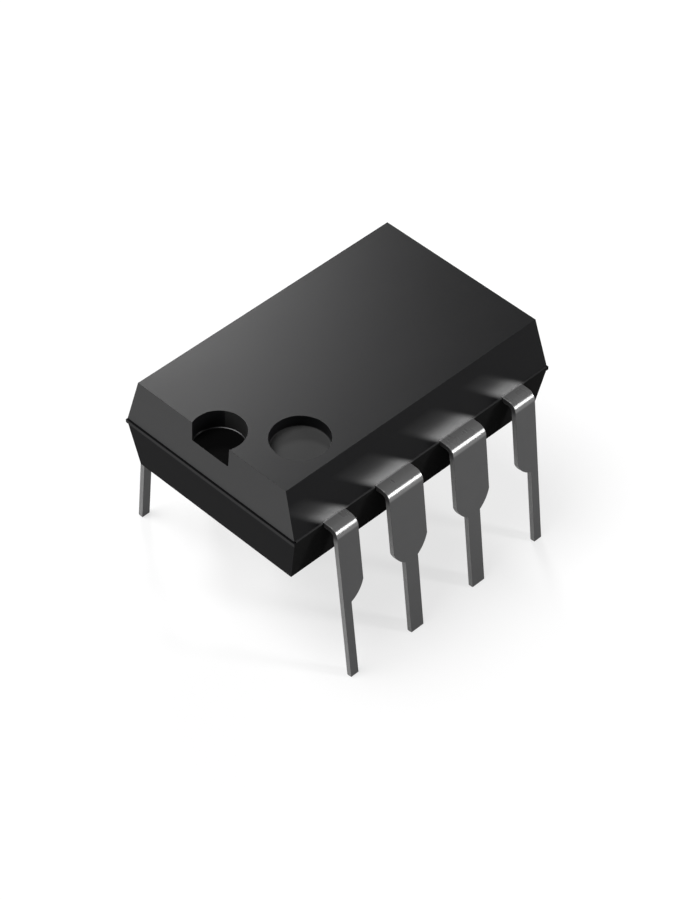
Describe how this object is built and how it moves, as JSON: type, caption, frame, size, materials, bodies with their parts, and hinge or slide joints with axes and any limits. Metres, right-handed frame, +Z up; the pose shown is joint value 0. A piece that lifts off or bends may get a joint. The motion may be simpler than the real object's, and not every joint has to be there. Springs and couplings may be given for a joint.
{
  "type": "dual in-line integrated circuit package",
  "caption": "Through-hole chip in a dark moulded body with an end notch and a round index dimple, on two rows of bent, tin-plated leads.",
  "frame": {"origin": "under the middle of the body, on the plane that the lead tips stand on", "axes": "+X runs along the body from the notched end, +Y towards the row of leads 5 to 8, +Z up through the top"},
  "size_m": [0.0102, 0.009, 0.0071],
  "materials": {
    "moulding_compound": "satin moulded epoxy resin",
    "tinned_lead": "satin tin plate on copper alloy",
    "bare_copper": "rolled copper alloy",
    "silver_epoxy": "cured silver-filled adhesive",
    "silicon": "polished and passivated silicon",
    "gold_wire": "drawn gold"
  },
  "bodies": {
    "root": {"package_body": "moulding_compound", "lead_1": "tinned_lead", "lead_2": "tinned_lead", "lead_3": "tinned_lead", "lead_4": "tinned_lead", "lead_5": "tinned_lead", "lead_6": "tinned_lead", "lead_7": "tinned_lead", "lead_8": "tinned_lead", "die_paddle": "bare_copper", "die_attach": "silver_epoxy", "silicon_die": "silicon", "bond_wire_1": "gold_wire", "bond_wire_2": "gold_wire", "bond_wire_3": "gold_wire", "bond_wire_4": "gold_wire", "bond_wire_5": "gold_wire", "bond_wire_6": "gold_wire", "bond_wire_7": "gold_wire", "bond_wire_8": "gold_wire"}
  },
  "joints": []
}
